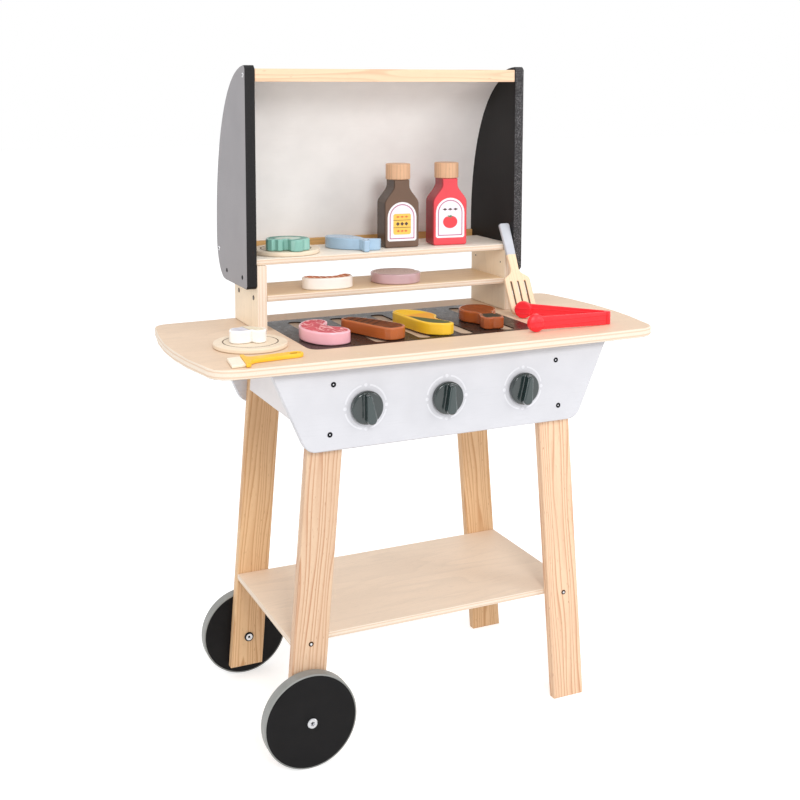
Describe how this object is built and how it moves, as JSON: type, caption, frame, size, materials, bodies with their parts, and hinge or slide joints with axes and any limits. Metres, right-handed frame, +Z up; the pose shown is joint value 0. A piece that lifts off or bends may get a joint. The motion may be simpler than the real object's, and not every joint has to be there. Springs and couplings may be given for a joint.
{
  "type": "toy barbecue grill",
  "caption": "Wooden pretend barbecue on a two-wheeled splayed frame, with an open hood over shelves, turning knobs, plates, tools, bottles and loose food.",
  "frame": {"origin": "on the floor, at the centre of the bounding box", "axes": "+X to the right of someone standing at the knobs, +Y away from them towards the hood, +Z up"},
  "size_m": [0.6492, 0.3328, 0.863],
  "materials": {
    "plywood": "sanded clear-lacquered plywood",
    "pine": "sanded pine with straight grain",
    "panel_paint": "pale grey-white satin paint on board",
    "side_paint": "white satin paint on board",
    "black_paint": "black satin paint on plywood",
    "sheet_paint": "white paint on thin bent board",
    "tan_wood": "tan hardwood rail",
    "knob": "slate green gloss",
    "wheel_disc": "black paint on board",
    "tyre": "grey rubber band",
    "zinc": "zinc-plated steel",
    "black_steel": "black screws",
    "beech": "turned beech",
    "dish_wood": "turned pale wood",
    "sauce_paint": "brown satin paint",
    "ketchup_paint": "red satin paint",
    "steak_paint": "pink satin paint, darker printed top",
    "slab_paint": "roast brown satin paint",
    "banana_paint": "yellow satin paint",
    "drumstick_paint": "brown satin paint",
    "mushroom_paint": "off-white satin paint",
    "pepper_paint": "green satin paint",
    "fish_paint": "pale blue satin paint",
    "prawn_paint": "off-white side, orange-brown top",
    "onion_paint": "mauve satin paint",
    "tongs_red": "red satin",
    "spatula_wood": "pale wood, grey-lilac handle end",
    "brush_yellow": "yellow satin paint",
    "brush_cream": "cream paint"
  },
  "bodies": {
    "frame": {"tabletop": "plywood", "grill_plate": "black_paint", "front_panel": "panel_paint", "rear_panel": "panel_paint", "lower_left_panel_screw": "black_steel", "lower_right_panel_screw": "black_steel", "upper_left_panel_screw": "black_steel", "upper_right_panel_screw": "black_steel", "left_side_board": "side_paint", "right_side_board": "side_paint", "front_left_leg": "pine", "front_right_leg": "pine", "rear_left_leg": "pine", "rear_right_leg": "pine", "lower_shelf": "plywood", "front_wheel_bolt": "zinc", "rear_wheel_bolt": "zinc", "front_wheel_washer": "zinc", "rear_wheel_washer": "zinc", "front_wheel_nut": "zinc", "rear_wheel_nut": "zinc", "left_post": "plywood", "right_post": "plywood", "mid_shelf": "plywood", "upper_shelf": "plywood", "hood_left_side": "black_paint", "hood_right_side": "black_paint", "hood_back_sheet": "sheet_paint", "hood_top_bar": "pine", "hood_rear_rail": "tan_wood"},
    "front_wheel": {"front_wheel_disc": "wheel_disc", "front_wheel_tyre": "tyre"},
    "rear_wheel": {"rear_wheel_disc": "wheel_disc", "rear_wheel_tyre": "tyre"},
    "left_knob": {"left_knob": "knob", "left_knob_screw": "zinc"},
    "middle_knob": {"middle_knob": "knob", "middle_knob_screw": "zinc"},
    "right_knob": {"right_knob": "knob", "right_knob_screw": "zinc"},
    "table_dish": {"table_dish": "dish_wood"},
    "mushroom": {"mushroom": "mushroom_paint"},
    "shelf_dish": {"shelf_dish": "dish_wood"},
    "pepper": {"pepper": "pepper_paint"},
    "fish": {"fish": "fish_paint"},
    "sauce_bottle": {"sauce_bottle": "sauce_paint", "sauce_cap": "beech"},
    "ketchup_bottle": {"ketchup_bottle": "ketchup_paint", "ketchup_cap": "beech"},
    "prawn": {"prawn": "prawn_paint"},
    "onion_slice": {"onion_slice": "onion_paint"},
    "steak": {"steak": "steak_paint"},
    "grilled_slab": {"grilled_slab": "slab_paint"},
    "banana": {"banana": "banana_paint"},
    "drumstick": {"drumstick": "drumstick_paint"},
    "tongs": {"tongs_front_arm": "tongs_red"},
    "tongs_back": {"tongs_back_arm": "tongs_red"},
    "spatula": {"spatula": "spatula_wood"},
    "brush": {"brush_handle": "brush_yellow", "brush_tip": "brush_cream"}
  },
  "joints": [
    {"name": "front_wheel_spin", "type": "hinge", "parent": "frame", "child": "front_wheel", "pos_m": [-0.19047, -0.143, 0.0605], "axis": [0, 1, 0], "continuous": true},
    {"name": "rear_wheel_spin", "type": "hinge", "parent": "frame", "child": "rear_wheel", "pos_m": [-0.19047, 0.1215, 0.0605], "axis": [0, 1, 0], "continuous": true},
    {"name": "left_knob_turn", "type": "hinge", "parent": "frame", "child": "left_knob", "pos_m": [-0.11471, -0.15, 0.447], "axis": [0, 1, 0], "continuous": true},
    {"name": "middle_knob_turn", "type": "hinge", "parent": "frame", "child": "middle_knob", "pos_m": [-0.0037, -0.15, 0.447], "axis": [0, 1, 0], "continuous": true},
    {"name": "right_knob_turn", "type": "hinge", "parent": "frame", "child": "right_knob", "pos_m": [0.10731, -0.15, 0.447], "axis": [0, 1, 0], "continuous": true},
    {"name": "table_dish_lift", "type": "slide", "parent": "frame", "child": "table_dish", "axis": [0, 0, 1], "range_m": [0, 0.05]},
    {"name": "shelf_dish_lift", "type": "slide", "parent": "frame", "child": "shelf_dish", "axis": [0, 0, 1], "range_m": [0, 0.05]},
    {"name": "fish_lift", "type": "slide", "parent": "frame", "child": "fish", "axis": [0, 0, 1], "range_m": [0, 0.05]},
    {"name": "sauce_bottle_lift", "type": "slide", "parent": "frame", "child": "sauce_bottle", "axis": [0, 0, 1], "range_m": [0, 0.05]},
    {"name": "ketchup_bottle_lift", "type": "slide", "parent": "frame", "child": "ketchup_bottle", "axis": [0, 0, 1], "range_m": [0, 0.05]},
    {"name": "steak_lift", "type": "slide", "parent": "frame", "child": "steak", "axis": [0, 0, 1], "range_m": [0, 0.05]},
    {"name": "grilled_slab_lift", "type": "slide", "parent": "frame", "child": "grilled_slab", "axis": [0, 0, 1], "range_m": [0, 0.05]},
    {"name": "banana_lift", "type": "slide", "parent": "frame", "child": "banana", "axis": [0, 0, 1], "range_m": [0, 0.05]},
    {"name": "drumstick_lift", "type": "slide", "parent": "frame", "child": "drumstick", "axis": [0, 0, 1], "range_m": [0, 0.05]},
    {"name": "tongs_lift", "type": "slide", "parent": "frame", "child": "tongs", "axis": [0, 0, 1], "range_m": [0, 0.05]},
    {"name": "spatula_lift", "type": "slide", "parent": "frame", "child": "spatula", "axis": [0, 0, 1], "range_m": [0, 0.05]},
    {"name": "brush_lift", "type": "slide", "parent": "frame", "child": "brush", "axis": [0, 0, 1], "range_m": [0, 0.05]},
    {"name": "mushroom_lift", "type": "slide", "parent": "table_dish", "child": "mushroom", "axis": [0, 0, 1], "range_m": [0, 0.04]},
    {"name": "pepper_lift", "type": "slide", "parent": "shelf_dish", "child": "pepper", "axis": [0, 0, 1], "range_m": [0, 0.04]},
    {"name": "prawn_lift", "type": "slide", "parent": "frame", "child": "prawn", "axis": [0, 0, 1], "range_m": [0, 0.018]},
    {"name": "onion_slice_lift", "type": "slide", "parent": "frame", "child": "onion_slice", "axis": [0, 0, 1], "range_m": [0, 0.018]},
    {"name": "tongs_squeeze", "type": "hinge", "parent": "tongs", "child": "tongs_back", "pos_m": [0.2575, -0.115, 0.522], "axis": [0, 0, 1], "range_deg": [0, 40], "stiffness_Nm_per_rad": 0.02}
  ]
}
